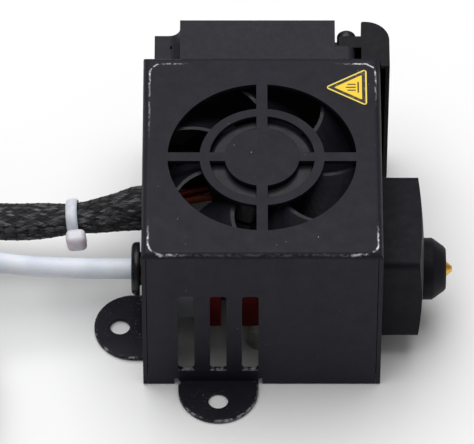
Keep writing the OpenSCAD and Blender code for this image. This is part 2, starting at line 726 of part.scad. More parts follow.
module heat_sink() {
    left_count = floor((-band / 2 - sink_x - 3) / fin_pitch + 0.41);
    right_count = floor((sink_end - 2.8 - band / 2) / fin_pitch + 0.41);
    color([0.72, 0.08, 0.07]) difference() {
        translate([sink_x, -sink_w / 2, sink_low]) cube([sink_end - sink_x, sink_w, sink_t]);
        for (i = [0:left_count - 1]) fin_groove(-band / 2 - i * fin_pitch - groove_w);
        for (i = [0:right_count - 1]) fin_groove(band / 2 + i * fin_pitch);
        for (s = [-1, 1]) {
            translate([0, s * standoff_pitch / 2, 0]) cylinder(d = standoff_hole_d, h = shroud_d, $fn = 40);
            rod_x(sink_end - 6, sink_end + cut, stud_r, s * screw_y, axis_h, 32);
        }
        rod_x(sink_x - cut, sink_end + cut, bore_r);
        rod_x(sink_x - cut, sink_x + 5.2, 4.4);
        rod_x(sink_end - 9, sink_end + cut, 3);
        translate([sink_end - 4.3, 0, axis_h + 2]) cylinder(r = stud_r, h = shroud_d, $fn = 32);
    }
}
// Groove between two fins, open to both sides and a little to the front
module fin_groove(x) {
    for (s = [0, 1]) mirror([0, s, 0]) translate([x, web_half, sink_low - cut])
        cube([groove_w, sink_w, sink_t + 2 * cut]);
    translate([x, -sink_w, sink_low + sink_t - 1.4]) cube([groove_w, 2 * sink_w, sink_t]);
}
// Sleeves that hold the heat sink off the mounting plane
module sink_standoffs() {
    color([0.78, 0.78, 0.8]) for (s = [-1, 1]) translate([0, s * standoff_pitch / 2, 0]) difference() {
        cylinder(d = standoff_d, h = sink_low, $fn = 48);
        translate([0, 0, -cut]) cylinder(d = standoff_hole_d, h = sink_low + 2 * cut, $fn = 40);
    }
}
// Strap that the coupler clamps to the heat sink's end, with its feet on the side wall
module sink_bracket() {
    w = 8.2;                 // half width
    h = 9;
    foot = 3;
    plate_x = sink_x - sheet_t;
    wall_x = left_x + sheet_t;
    color([0.62, 0.62, 0.64]) difference() {
        translate([0, 0, axis_h - h / 2]) {
            translate([plate_x, -w, 0]) cube([sheet_t, 2 * w, h]);
            for (s = [0, 1]) mirror([0, s, 0]) translate([wall_x, w - sheet_t, 0])
                cube([plate_x - wall_x + eps, sheet_t, h]);
            translate([wall_x, -w - foot, 0]) cube([sheet_t, foot + eps, h]);
        }
        rod_x(plate_x - cut, plate_x + sheet_t + cut, 4.4);
    }
}
module sink_grub() {
    color([0.15, 0.15, 0.16]) translate([sink_end - 4.3, 0, axis_h + 3])
        cylinder(r = stud_r, h = sink_t / 2 - 3, $fn = 32);
}

module coupler_body() {
    color([0.78, 0.78, 0.8]) difference() {
        union() {
            rod_x(body_end, sink_x - sheet_t, 4.8);
            translate([sink_x - sheet_t - 3, 0, axis_h]) rotate([0, 90, 0])
                cylinder(d = 10 / cos(30), h = 3, $fn = 6);
            rod_x(sink_x - sheet_t, sink_x + 5, 4.4);
        }
        rod_x(body_end - cut, cavity_end, collet_bore);
        rod_x(body_end - cut, sink_x + 6, bore_r);
    }
}
module coupler_collet() {
    ring_x = left_x - collet_out;
    color([0.1, 0.1, 0.11]) difference() {
        union() {
            translate([ring_x, 0, axis_h]) rotate([0, 90, 0]) rotate_extrude($fn = 64)
                polygon(concat([[0, 0]], arc(collet_d / 2 - 1, 1, 1, -90, 0, 6),
                    [[collet_d / 2, collet_ring_t], [0, collet_ring_t]]));
            rod_x(ring_x + collet_ring_t - eps, cavity_end - 2.6, collet_bore - run);
        }
        rod_x(ring_x - cut, cavity_end, tube_r + slip);
    }
}
// Split steel ring that grips the tube
module coupler_claws() {
    x = cavity_end - 2.6;
    color([0.75, 0.75, 0.76]) difference() {
        rod_x(x, x + 1.2, collet_bore - 2 * run);
        rod_x(x - cut, x + 2, tube_r + slip);
        for (a = [0, 60, 120])
            translate([x + 1, 0, axis_h]) rotate([a, 0, 0]) cube([1.2, 0.4, 9], center = true);
    }
}
module coupler_seal() {
    color([0.08, 0.08, 0.08]) translate([cavity_end, 0, axis_h]) rotate([0, -90, 0])
        rotate_extrude($fn = 48) polygon(round_box(tube_r, 0, collet_bore, 0.3 + 2 * run, 0.15, 3));
}
// Stretch of the feed tube from the release ring to the nozzle
module tube_liner() {
    color([0.93, 0.94, 0.95]) difference() {
        rod_x(left_x - collet_out, block_end - 5, tube_r);
        rod_x(left_x - collet_out - cut, block_end, tube_bore / 2, 0, axis_h, 32);
    }
}
module heat_break() {
    color([0.7, 0.7, 0.72]) difference() {
        union() {
            rod_x(sink_end - 9, sink_end, 3);
            rod_x(sink_end - eps, block_x + eps, bore_r + 0.4);
            rod_x(block_x, block_end - 5, 3);
        }
        rod_x(sink_end - 10, block_end, bore_r);
    }
}

// ---- heater block, nozzle and sock ----

module heater_block() {
    color([0.78, 0.78, 0.79]) difference() {
        translate([block_x, -block_w / 2, block_z - block_w / 2]) cube([block_t, block_w, block_w]);
        rod_x(block_x - cut, block_end + cut, 3);
        rod_y(-block_w, block_w, heater_r + run, heater_x, heater_z, 48);
        rod_y(2, block_w, 1.1, sensor_x, sensor_z);
        for (s = [-1, 1]) {
            rod_x(block_x - cut, block_end + cut, stud_r + 0.15, s * screw_y, axis_h, 32);
            rod_x(block_end - 3.1, block_end + cut, 2.85, s * screw_y, axis_h, 32);
        }
        rod_x(block_end - 2.6, block_end + cut, stud_r, 0, heater_z, 32);
        rod_y(block_w / 2 - 4, block_w, sensor_screw_r, sensor_screw_x, sensor_z);
    }
}
module heater_cartridge() {
    color([0.72, 0.73, 0.75]) rod_y(-block_w / 2, block_w / 2, heater_r, heater_x, heater_z, 48);
}
module heater_grub() {
    color([0.15, 0.15, 0.16]) rod_x(block_end - 1.9, block_end, stud_r, 0, heater_z, 32);
}
module temperature_sensor() {
    color([0.85, 0.85, 0.8]) rod_y(2.4, block_w / 2 + 0.6, 1, sensor_x, sensor_z);
}
module sensor_screw() {
    color([0.75, 0.75, 0.77]) {
        rod_y(block_w / 2 - 4, block_w / 2 + eps, sensor_screw_r, sensor_screw_x, sensor_z);
        rod_y(block_w / 2, block_w / 2 + 0.9, 1.8, sensor_screw_x, sensor_z);
    }
}
module block_screws() {
    color([0.2, 0.2, 0.21]) for (s = [-1, 1]) {
        rod_x(sink_end - 5.8, block_end - 3, stud_r, s * screw_y, axis_h, 32);
        rod_x(block_end - 3.1, block_end - 0.1, 2.75, s * screw_y, axis_h, 32);
    }
}
module nozzle() {
    hex_t = 3;
    color([0.8, 0.62, 0.25]) difference() {
        union() {
            rod_x(block_end - 5, block_end + eps, 3);
            translate([block_end, 0, axis_h]) rotate([0, 90, 0])
                cylinder(d = 6 / cos(30), h = hex_t, $fn = 6);
            translate([block_end + hex_t - eps, 0, axis_h]) rotate([0, 90, 0]) rotate_extrude($fn = 48)
                polygon([[0, 0], [2.5, 0], [2.5, 2.6], [0.55, nozzle_out - hex_t], [0, nozzle_out - hex_t]]);
        }
        rod_x(block_end - 6, nozzle_tip - 1.6, tube_bore / 2, 0, axis_h, 32);
        rod_x(block_end, nozzle_tip + cut, 0.2, 0, axis_h, 16);
    }
}
// Sock over the block, with a domed end and a boss around the nozzle
module silicone_sock() {
    half = block_w / 2 + sock_wall + slip;
    side_x = block_x - 0.8;
    end_x = block_end + 1.3;
    crown = end_x + 1.2;
    dome_r = 100;
    color([0.11, 0.11, 0.13]) difference() {
        union() {
            intersection() {
                translate([side_x, 0, block_z]) rotate([90, 0, 90]) linear_extrude(crown - side_x + 1)
                    polygon(round_box(-half, -half, half, half, 1.6));
                translate([crown - dome_r, 0, block_z]) sphere(r = dome_r, $fn = 180);
            }
            translate([block_end + 0.8, 0, axis_h]) rotate([0, 90, 0]) rotate_extrude($fn = 72)
                polygon([[0, 0], [5.9, 0], [5.9, 3.2], [5.6, 3.7], [4.3, 5.5], [3.8, 5.9], [0, 5.9]]);
        }
        translate([side_x - cut, -block_w / 2 - slip, block_z - block_w / 2 - slip])
            cube([block_end + slip - side_x + cut, block_w + 2 * slip, block_w + 2 * slip]);
        rod_x(block_end, block_end + 4.2, 4);
        rod_x(block_end, block_end + 5.9, 2.7);
        rod_x(block_end, block_end + 8, 2.35);
        // notch for the leads in the side towards the blower
        translate([side_x - cut, block_w / 2 - cut, sensor_z - 2.4])
            cube([block_t - 0.2, 4, heater_z - sensor_z + 5.4]);
    }
}

// ---- leads inside the shroud ----

module lead(p, r) { swept(bend(p, 3), r, 8); }
module heater_leads() {
    color([0.75, 0.12, 0.1]) for (s = [-1, 1])
        lead([lead_in + [0, s * 0.9, 1.4], [-10, 13 + s, 19.4], [2, 14.4 + s, 20.6], [11, 14.4, 21.2 + s],
              [heater_x - 5, block_w / 2 + 2.5, heater_z + 0.6 + s],
              [heater_x - 0.6, block_w / 2 + 1.3, heater_z + s],
              [heater_x, block_w / 2 + 0.02, heater_z + s]], 0.7);
}
module sensor_leads() {
    color([0.88, 0.88, 0.9]) for (s = [-1, 1])
        lead([lead_in + [0, s * 0.8, -1.8], [-9, 12.4 + s * 0.7, 12.6], [2, 12.8 + s * 0.7, 11],
              [13, 13.4 + s * 0.7, 9.8], [sensor_x - 1, block_w / 2 + 2.8, sensor_z + 0.55 * s],
              [sensor_x, block_w / 2 + 1.5, sensor_z + 0.45 * s],
              [sensor_x, block_w / 2 + 0.62, sensor_z + 0.45 * s]], 0.4);
}
module fan_leads() {
    color([0.85, 0.6, 0.15]) for (s = [-1, 1])
        lead([lead_in + [0, 1.5 + 0.7 * s, -0.4], [-16, 16.2 + s * 0.7, 19], [-11.5, 16 + s * 0.7, 23.6],
              [-8.2, fan_y + 5.2 + s * 0.7, 26.4], [-6.4, fan_y + 4 + s * 0.7, fan_z - 0.65]], 0.45);
}
module blower_leads() {
    color([0.15, 0.3, 0.7]) for (s = [-1, 1])
        lead([lead_in + [0, 3, 1 * s + 0.7], [left_x + 4.6, 19, 15.2 + 0.8 * s],
              [left_x + 5.5, 24, 14.6 + 0.8 * s], [left_x + 5.5, blower_y - 2, 14.5 + 0.8 * s],
              [left_x + 5.5, blower_y + 0.6, 14.5 + 0.8 * s]], 0.5);
}

// ---- feed tube and harness ----

module feed_tube() { color([0.93, 0.94, 0.96]) swept(bend(tube_route, 3), tube_r, 12); }
module feed_tube_coil() {
    color([0.93, 0.94, 0.96]) difference() {
        coil_ring(tube_coil_r, tube_d, tube_coil_h);
        tie_space(tube_coil_r, tube_d, tube_coil_h, tube_tie_a);
    }
}
module feed_tube_tie() { color([0.1, 0.1, 0.1]) tie_hoop(tube_coil_r, tube_d, tube_coil_h, tube_tie_a); }
module wire_sleeve() {
    color([0.12, 0.12, 0.13]) {
        swept(bend(sleeve_route, 3), sleeve_d / 2, 12);
        swept(sleeve_end, sleeve_d / 2, 12);
    }
}
module wire_sleeve_coil() {
    color([0.12, 0.12, 0.13]) difference() {
        coil_ring(sleeve_coil_r, coil_w, coil_w);
        tie_space(sleeve_coil_r, coil_w, coil_w, sleeve_tie_a);
    }
}
module wire_sleeve_tie() { color([0.1, 0.1, 0.1]) tie_hoop(sleeve_coil_r, coil_w, coil_w, sleeve_tie_a); }

// Outer shape of wound turns, w wide and h high
module coil_ring(r, w, h) {
    translate([coil_at[0], coil_at[1], 0]) rotate_extrude($fn = 96)
        polygon(round_box(r - w / 2, 0, r + w / 2, h, min(w, h) / 2 - 0.2, 5));
}
module at_tie(r, a) {
    translate([coil_at[0], coil_at[1], 0]) rotate([0, 0, a]) translate([r, 0, 0]) children();
}
// Space that a tie takes out of the turns it presses on
module tie_space(r, w, h, a) {
    at_tie(r, a) difference() {
        translate([-w / 2 - 2, -tie_w / 2 - slip, -cut]) cube([w + 4, tie_w + 2 * slip, h + 2 * cut]);
        translate([-w / 2 + tie_t + run, -tie_w, tie_t + run])
            cube([w - 2 * tie_t - 2 * run, 2 * tie_w, h - 2 * tie_t - 2 * run]);
    }
}
module tie_hoop(r, w, h, a) {
    at_tie(r, a) difference() {
        translate([-w / 2, -tie_w / 2, 0]) cube([w, tie_w, h]);
        translate([-w / 2 + tie_t, -tie_w, tie_t]) cube([w - 2 * tie_t, 2 * tie_w, h - 2 * tie_t]);
    }
}

// Cable tie around the harness, its head on the side towards the vents
module zip_tie() {
    strap_r = sleeve_d / 2 + run;
    strap_t = 0.55;
    head_t = 3;
    color([0.93, 0.92, 0.88]) translate([-36, 12, 12.85]) rotate([0, -7, 0]) rotate([3, 0, 0]) {
        difference() {
            rotate([0, 90, 0]) cylinder(r = strap_r + strap_t, h = 2.2, center = true, $fn = 48);
            rotate([0, 90, 0]) cylinder(r = strap_r, h = 4, center = true, $fn = 48);
        }
        difference() {
            translate([-1.3, -strap_r - head_t - 0.1, -2]) cube([3.8, head_t, 4]);
            rotate([0, 90, 0]) cylinder(r = strap_r + strap_t / 2, h = 9, center = true, $fn = 48);
            translate([0, -strap_r - 1.9, 0]) cube([2.2, 1.1, 6], center = true);
        }
    }
}
// Shrink sleeve at the harness's end, with the leads to the plugs
module at_end() { translate(end_at) rotate([0, 0, end_turn]) children(); }
module wire_ends() {
    color([0.1, 0.1, 0.1]) at_end() {
        rod_y(0.3, 8.3, sleeve_d / 2, 0, 0);
        for (i = [-1:1], s = [-1, 1])
            lead([[i * 1.8 + s * 0.4, 7.9, 0.7 * s], [i * 3 + s * 0.6, 12, 0],
                [i * plug_pitch + s * 1.2, 17, -0.2],
                  [i * plug_pitch + s * 1.25, plug_at - 0.02, -0.2]], 0.6);
    }
}
// Two-way plugs
module connectors() {
    color([0.93, 0.93, 0.9]) at_end() for (i = [-1:1]) difference() {
        translate([i * plug_pitch - 2.5, plug_at, -end_at[2]]) cube([5, 8, 5.4]);
        translate([i * plug_pitch - 1.9, plug_at + 5, 0.6 - end_at[2]]) cube([3.8, 3 + cut, 4.2]);
    }
}

shroud();
warning_label();
fan_frame();
fan_rotor();
fan_shaft();
fan_magnet();
fan_bearing();
fan_stator();
fan_coils();
fan_board();
fan_studs();
fan_nuts();
blower_case();
blower_cover();
blower_impeller();
blower_shaft();
blower_magnet();
blower_bearing();
blower_stator();
blower_coils();
blower_board();
blower_screw();
blower_nuts();
air_duct();
duct_screw();
heat_sink();
sink_standoffs();
sink_bracket();
sink_grub();
coupler_body();
coupler_collet();
coupler_claws();
coupler_seal();
tube_liner();
heat_break();
heater_block();
heater_cartridge();
heater_grub();
temperature_sensor();
sensor_screw();
block_screws();
nozzle();
silicone_sock();
heater_leads();
sensor_leads();
fan_leads();
blower_leads();
feed_tube();
feed_tube_coil();
feed_tube_tie();
wire_sleeve();
wire_sleeve_coil();
wire_sleeve_tie();
zip_tie();
wire_ends();
connectors();
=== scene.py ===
"""Looks of a printer's hotend assembly: steel shroud, two fans, heat sink, block, nozzle, tube and harness.

The row frame is in metres: +X along the nozzle to its tip, +Y to the blower, +Z out of the fan grille.
Sizes and places are written in millimetres and multiplied by mm.
"""

import math

import bpy
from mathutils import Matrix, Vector


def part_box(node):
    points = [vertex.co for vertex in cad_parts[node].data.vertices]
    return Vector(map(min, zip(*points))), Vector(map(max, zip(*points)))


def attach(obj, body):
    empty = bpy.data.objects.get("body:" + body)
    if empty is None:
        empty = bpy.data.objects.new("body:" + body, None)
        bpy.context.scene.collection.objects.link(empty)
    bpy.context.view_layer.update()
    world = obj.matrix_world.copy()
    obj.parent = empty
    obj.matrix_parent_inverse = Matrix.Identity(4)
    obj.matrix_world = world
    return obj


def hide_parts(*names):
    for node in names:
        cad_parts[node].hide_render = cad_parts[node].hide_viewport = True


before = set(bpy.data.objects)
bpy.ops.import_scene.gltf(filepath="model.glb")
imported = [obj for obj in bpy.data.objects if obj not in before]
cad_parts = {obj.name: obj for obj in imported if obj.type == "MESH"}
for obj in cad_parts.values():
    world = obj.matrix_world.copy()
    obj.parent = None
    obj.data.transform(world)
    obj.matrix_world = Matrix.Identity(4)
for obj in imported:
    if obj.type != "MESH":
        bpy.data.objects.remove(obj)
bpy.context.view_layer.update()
mm = 0.001

# ---- camera ----
# A long lens far off, looking down on the grille from the side of the vent wall. The aim is a little
# to the left of the shroud, so that the tube and the harness have room.
aim = Vector((-4.7, 5.75, 19.5)) * mm
elevation = math.radians(51)
distance = 1.168
eye = bpy.data.objects.new("camera", bpy.data.cameras.new("camera"))
bpy.context.collection.objects.link(eye)
bpy.context.scene.camera = eye
eye.location = aim + distance * Vector((0, -math.cos(elevation), math.sin(elevation)))
eye.rotation_euler = (math.pi / 2 - elevation, 0, 0)
eye.data.lens = 466.7
eye.data.sensor_width = 36
eye.data.clip_start = 0.05
eye.data.clip_end = 20

# ---- feed tube ----
# Extruded PTFE tube, 4 mm outside and 2 mm inside. It comes straight out of the coupler's ring, and
# what isn't needed lies in two turns inside the harness's coil, held by a small tie.


def linear(hex_colour):
    """sRGB hex to the linear colour that a shader takes."""
    parts = [int(hex_colour[i : i + 2], 16) / 255 for i in (0, 2, 4)]
    return tuple(c / 12.92 if c <= 0.04045 else ((c + 0.055) / 1.055) ** 2.4 for c in parts) + (1.0,)


def add(tree, kind, *values, out=0, **settings):
    """Adds a node, links or sets its inputs in their order (None leaves one as it is), and gives one output."""
    node = tree.nodes.new("ShaderNode" + kind)
    for key, value in settings.items():
        setattr(node, key, value)
    for socket, value in zip(node.inputs, values):
        if isinstance(value, bpy.types.NodeSocket):
            tree.links.new(value, socket)
        elif value is not None:
            socket.default_value = value
    return node.outputs[out]


def new_material(name, **sockets):
    """Makes a material and sets its shader's plain sockets. Returns the tree, the shader and the material."""
    made = bpy.data.materials.new(name)
    made.use_nodes = True
    shader = made.node_tree.nodes["Principled BSDF"]
    for key, value in sockets.items():
        shader.inputs[key.replace("_", " ")].default_value = value
    return made.node_tree, shader, made


coil_middle = Vector((-95, -23, 0))
tube_route = [(-24.8, 0, 12.5), (-30, 0, 12.5), (-38, 0, 12.8), (-46, 0, 13.6), (-54, 0, 15.2), (-62, -1, 16.8),
              (-70, -1, 17.3), (-78, -1, 16.4), (-86, -1, 14.0)]
tube_r, tube_coil_r, tube_turns = 2.0, 22, 2.2
coil_top, turn_drop = 11.6, 4.3          # where the turns begin, and how far each one comes down
turn_steps = 24
for i in range(int(tube_turns * turn_steps) + 1):
    angle = math.pi / 2 + 2 * math.pi * i / turn_steps
    height = max(tube_r + 0.1, coil_top - turn_drop * i / turn_steps)
    tube_route.append((coil_middle.x + tube_coil_r * math.cos(angle),
                       coil_middle.y + tube_coil_r * math.sin(angle), height))


def curve_through(name, points, radius, steps=4, sides=6):
    """A round tube on one smooth spline through the points."""
    data = bpy.data.curves.new(name, "CURVE")
    data.dimensions = "3D"
    data.bevel_depth = radius * mm
    data.bevel_resolution = sides
    data.resolution_u = steps
    data.use_fill_caps = True
    spline = data.splines.new("BEZIER")
    spline.bezier_points.add(len(points) - 1)
    for knot, point in zip(spline.bezier_points, points):
        knot.co = Vector(point) * mm
        knot.handle_left_type = knot.handle_right_type = "AUTO"
    made = bpy.data.objects.new(name, data)
    bpy.context.collection.objects.link(made)
    return made


# White and waxy: light goes a little way in, and the gloss is uneven from the drawing.
tree, shader, ptfe = new_material("ptfe_extruded_waxy", IOR=1.35, Subsurface_Weight=0.25,
                                  Subsurface_Scale=2 * mm)
point = add(tree, "TexCoord", out="Object")
cloud = add(tree, "TexNoise", point, None, 1 / (6 * mm), 3, 0.6)
tree.links.new(add(tree, "MixRGB", add(tree, "MapRange", cloud, 0.35, 0.7), linear("e3e8f0"), linear("d3dae6")),
               shader.inputs["Base Color"])
tree.links.new(add(tree, "MapRange", add(tree, "TexNoise", point, None, 1 / (0.8 * mm), 3, 0.6), 0.3, 0.7, 0.28,
                   0.42), shader.inputs["Roughness"])
tree.links.new(add(tree, "Bump", 0.4, 0.03 * mm, None,
                   add(tree, "TexNoise", point, None, 1 / (1.2 * mm), 3, 0.6)), shader.inputs["Normal"])

tube = curve_through("feed_tube_whole", tube_route, tube_r)
tube.data.materials.append(ptfe)
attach(tube, "hotend")
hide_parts("feed_tube", "feed_tube_coil")

# ---- harness ----
# The leads run in an expandable sleeve, braided from bundles of black PET monofilament, over two and
# under two; its grey flecks are painted glints. It is drawn in by a cable tie, and most of its 0.96 m
# is wound in a coil of nearly four turns, two by two.
sleeve_r = 3.5
outer_turn, inner_turn = 38.5, 31.5      # radii of the turns
upper_turn, lower_turn = 10.5, 3.5       # and their heights
sleeve_route = [Vector(p) for p in [(-20, 12, 16.3), (-23, 12, 16.1), (-27, 12, 14.9), (-30.5, 12, 13.9),
                                    (-34, 12, 13.1), (-41, 12, 12.2), (-48, 12, 11.8), (-58, 13, 11.4),
                                    (-70, 14.4, 10.7), (-82, 15.3, 10.5)]]
# angle round the coil, radius and height, where each stretch begins and ends
stages = [(90, outer_turn, upper_turn), (420, outer_turn, upper_turn), (448, inner_turn, upper_turn),
          (750, inner_turn, upper_turn), (778, inner_turn, lower_turn), (1080, inner_turn, lower_turn),
          (1108, outer_turn, lower_turn), (1436, outer_turn, lower_turn)]
for (a0, r0, z0), (a1, r1, z1) in zip(stages, stages[1:]):
    count = max(4, round((a1 - a0) / 9))
    for i in range(count):
        share = i / count
        ease = share * share * (3 - 2 * share)
        angle, r = math.radians(a0 + (a1 - a0) * share), r0 + (r1 - r0) * ease
        sleeve_route.append(coil_middle + Vector((r * math.cos(angle), r * math.sin(angle),
                                                  z0 + (z1 - z0) * ease)))
sleeve_route += [Vector(p) for p in [(-56.5, -24, 3.5), (-56.6, -17, 3.5), (-56.9, -10, 3.5), (-57.4, -3, 3.5),
                                     (-58, 4, 3.5), (-59, 11, 3.5), (-60.2, 18, 3.5), (-61.6, 25, 3.5)]]


def smooth_line(points, step_at):
    """Points step_at(length so far) apart on a smooth curve through the given ones, and the length at each."""
    fine = []
    for i in range(len(points) - 1):
        a, b, c, d = (points[max(0, min(len(points) - 1, i + k))] for k in (-1, 0, 1, 2))
        for k in range(16):
            t = k / 16
            curved = (2 * a - 5 * b + 4 * c - d) * t * t + (3 * b - a - 3 * c + d) * t ** 3
            fine.append(0.5 * (2 * b + (c - a) * t + curved))
    fine.append(points[-1])
    line, marks, gone, total = [fine[0]], [0.0], 0.0, 0.0
    for p, q in zip(fine, fine[1:]):
        far = (q - p).length
        while gone + far >= step_at(total):
            need = step_at(total) - gone
            p = p.lerp(q, need / far)
            far -= need
            total += need + gone
            gone = 0.0
            line.append(p)
            marks.append(total)
        gone += far
    return line, marks


columns = 96                 # points round the sleeve
bundles = 32                 # each way
lay_length = 2.1             # along the sleeve for one bundle's width round it
fine_length = 62             # the first stretch, where crossings are modelled
fine_step, coarse_step = 0.42, 1.15
crossing_height = 0.06
line, marks = smooth_line(sleeve_route, lambda gone: fine_step if gone < fine_length else coarse_step)
verts, faces, side = [], [], None
for i, (p, mark) in enumerate(zip(line, marks)):
    ahead = (line[min(i + 1, len(line) - 1)] - line[max(i - 1, 0)]).normalized()
    side = side or Vector((0, 0.1, 1)).cross(ahead)
    side = (side - ahead * side.dot(ahead)).normalized()
    up = ahead.cross(side)
    # wide where it comes through the wall, and narrow under the cable tie
    radius = sleeve_r + 0.72 * math.exp(-((p.x + 23) / 3.8) ** 2) - 0.6 * math.exp(-((p.x + 35.8) / 4.6) ** 2)
    for k in range(columns):
        round_way, along_way = k / columns * bundles, mark / lay_length
        bundles_here = (round_way + along_way, round_way - along_way)
        relief = crossing_height * sum(math.cos(2 * math.pi * at) for at in bundles_here)
        angle = 2 * math.pi * k / columns
        outward = math.cos(angle) * side + math.sin(angle) * up
        verts.append((p + (radius + (relief if mark < fine_length else 0)) * outward) * mm)
for i in range(len(line) - 1):
    here, there = i * columns, (i + 1) * columns
    faces += [(here + k, here + (k + 1) % columns, there + (k + 1) % columns,
               there + k) for k in range(columns)]
walls = len(faces)
faces += [tuple(range(columns))[::-1], tuple((len(line) - 1) * columns + k for k in range(columns))]
data = bpy.data.meshes.new("wire_sleeve_whole")
data.from_pydata(verts, [], faces)
layer = data.uv_layers.new(name="along").data
for face in data.polygons[:walls]:
    i, k = divmod(face.index, columns)
    for loop, (u, v) in zip(face.loop_indices, ((k, i), (k + 1, i), (k + 1, i + 1), (k, i + 1))):
        layer[loop].uv = (u / columns * bundles, marks[v] / lay_length)
for face in data.polygons:
    face.use_smooth = True
sleeve = bpy.data.objects.new("wire_sleeve_whole", data)
bpy.context.collection.objects.link(sleeve)

# Eight filaments lie side by side in a bundle. Real ones are 0.25 mm thick, too fine to show, so the
# bundles are drawn wider than they are. Grey flecks on random bundles are painted glints, and each
# bundle is painted lighter along its crown and darker at its edges, as painted shade.
tree, shader, braid = new_material("braided_sleeve_monofilament", Specular_IOR_Level=0.3)
across = add(tree, "SeparateXYZ", add(tree, "UVMap", uv_map="along")).node.outputs
right, left = (add(tree, "Math", across[0], across[1], operation="ADD"),
               add(tree, "Math", across[0], across[1], operation="SUBTRACT"))
right_no, left_no = (add(tree, "Math", right, operation="FLOOR"), add(tree, "Math", left, operation="FLOOR"))
over = add(tree, "Math",
           add(tree, "Math", add(tree, "Math", right_no, left_no, operation="ADD"), 4.0,
               operation="FLOORED_MODULO"), 1.5, operation="LESS_THAN")
bundle_at = add(tree, "Mix", over, None, left, right, data_type="FLOAT")
crown = add(tree, "Math", add(tree, "Math", bundle_at, 0.5, operation="PINGPONG"), 2.0, operation="MULTIPLY")
filament = add(tree, "Math", add(tree, "Math", bundle_at, 8.0, operation="MULTIPLY"), 1.0, operation="PINGPONG")
chance = add(tree, "TexWhiteNoise", add(tree, "CombineXYZ", right_no, left_no))
streak = add(tree, "TexNoise",
             add(tree, "CombineXYZ", add(tree, "Math", bundle_at, 6.0, operation="MULTIPLY"),
                 add(tree, "Math", across[1], 0.7, operation="MULTIPLY"), over), None, 1 / 1.0, 3, 0.6)
# grey flecks on random bundles: painted glints of the glossy filaments
braid_glint_painted = add(tree, "Math", add(tree, "MapRange", chance, 0.45, 1.0), add(tree, "MapRange", streak, 0.42, 0.62),
           operation="MULTIPLY")
# each bundle lighter along its crown and darker at its edges: painted light and shade
body = add(tree, "MixRGB", crown, linear("020203"), linear("141417"))
tree.links.new(add(tree, "MixRGB", braid_glint_painted, body, linear("84848a")), shader.inputs["Base Color"])
tree.links.new(add(tree, "MapRange", filament, 0, 1, 0.62, 0.34), shader.inputs["Roughness"])
tree.links.new(add(tree, "Bump", 1.0, 0.16 * mm, None,
                   add(tree, "Math", filament, 0.35, crown, operation="MULTIPLY_ADD")), shader.inputs["Normal"])
sleeve.data.materials.append(braid)
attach(sleeve, "hotend")
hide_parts("wire_sleeve", "wire_sleeve_coil")

# ---- cable tie ----
# Moulded natural nylon. The strap is pulled tight round the sleeve, and its end is cut off just past
# the square head.
strap_r = 3.5
strap_thin, strap_wide = 0.45, 2.45       # half its thickness, and its width over its thickness
bpy.ops.object.select_all(action="DESELECT")
bpy.ops.mesh.primitive_torus_add(major_radius=strap_r * mm, minor_radius=strap_thin * mm, major_segments=64,
                                 minor_segments=16, rotation=(0, math.pi / 2, 0))
strap = bpy.context.object
bpy.ops.object.transform_apply()
bpy.ops.object.mode_set(mode="EDIT")
bpy.ops.mesh.select_all(action="SELECT")
bpy.ops.transform.resize(value=(strap_wide, 1, 1), center_override=(0, 0, 0))
head = ((3.8, 3.0, 4.2), (0.6, -strap_r - 1.7, 0), 1.0)
cut_end = ((2.0, 0.9, 1.1), (0.3, -strap_r - 1.5, -2.4), 0.15)
for size, place, round_off in (head, cut_end):
    bpy.ops.mesh.select_all(action="DESELECT")
    bpy.ops.mesh.primitive_cube_add(size=mm, location=[c * mm for c in place])
    bpy.ops.transform.resize(value=size, center_override=[c * mm for c in place])
    bpy.ops.mesh.bevel(offset=round_off * mm, segments=5, affect="EDGES")
bpy.ops.mesh.select_all(action="SELECT")
bpy.ops.mesh.normals_make_consistent(inside=False)
bpy.ops.object.mode_set(mode="OBJECT")
strap.name = "cable_tie"
strap.location = Vector((-36, 12, 12.85)) * mm
strap.rotation_euler = (math.radians(3), math.radians(-7), 0)
bpy.ops.object.transform_apply()
bpy.ops.object.shade_smooth_by_angle(angle=math.radians(40))

# Milky: light goes deep into it, and the mould leaves a soft, uneven gloss.
tree, shader, nylon = new_material("nylon_natural_moulded", Subsurface_Weight=0.6, Subsurface_Scale=3 * mm,
                                   IOR=1.53)
point = add(tree, "TexCoord", out="Object")
tree.links.new(add(tree, "MixRGB",
                   add(tree, "MapRange", add(tree, "TexNoise", point, None, 1 / (1.6 * mm), 3, 0.6), 0.35, 0.7),
                   linear("dedce4"), linear("c9c7d2")), shader.inputs["Base Color"])
tree.links.new(add(tree, "MapRange", add(tree, "TexNoise", point, None, 1 / (0.5 * mm), 3, 0.6), 0.3, 0.7, 0.28,
                   0.5), shader.inputs["Roughness"])
tree.links.new(add(tree, "Bump", 0.5, 0.04 * mm, None,
                   add(tree, "TexNoise", point, None, 1 / (0.45 * mm), 3, 0.6)), shader.inputs["Normal"])
strap.data.materials.append(nylon)
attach(strap, "hotend")
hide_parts("zip_tie")

# ---- shroud ----
# One sheet of 0.8 mm steel, punched, folded and powder coated black. The coat is worn to bright metal
# along the folds round the front panel, most at its corners, and chipped by handling.

# smooth shading as a live step, so that the nodes' own meshes stay as they are
smoothing = bpy.data.node_groups.new("smoothing", "GeometryNodeTree")
smoothing.interface.new_socket("Geometry", in_out="INPUT", socket_type="NodeSocketGeometry")
smoothing.interface.new_socket("Geometry", in_out="OUTPUT", socket_type="NodeSocketGeometry")
smooth_kinds = ("NodeGroupInput", "GeometryNodeSetShadeSmooth", "NodeGroupOutput")
smooth_nodes = [smoothing.nodes.new(kind) for kind in smooth_kinds]
for before, after in zip(smooth_nodes, smooth_nodes[1:]):
    smoothing.links.new(before.outputs[0], after.inputs[0])


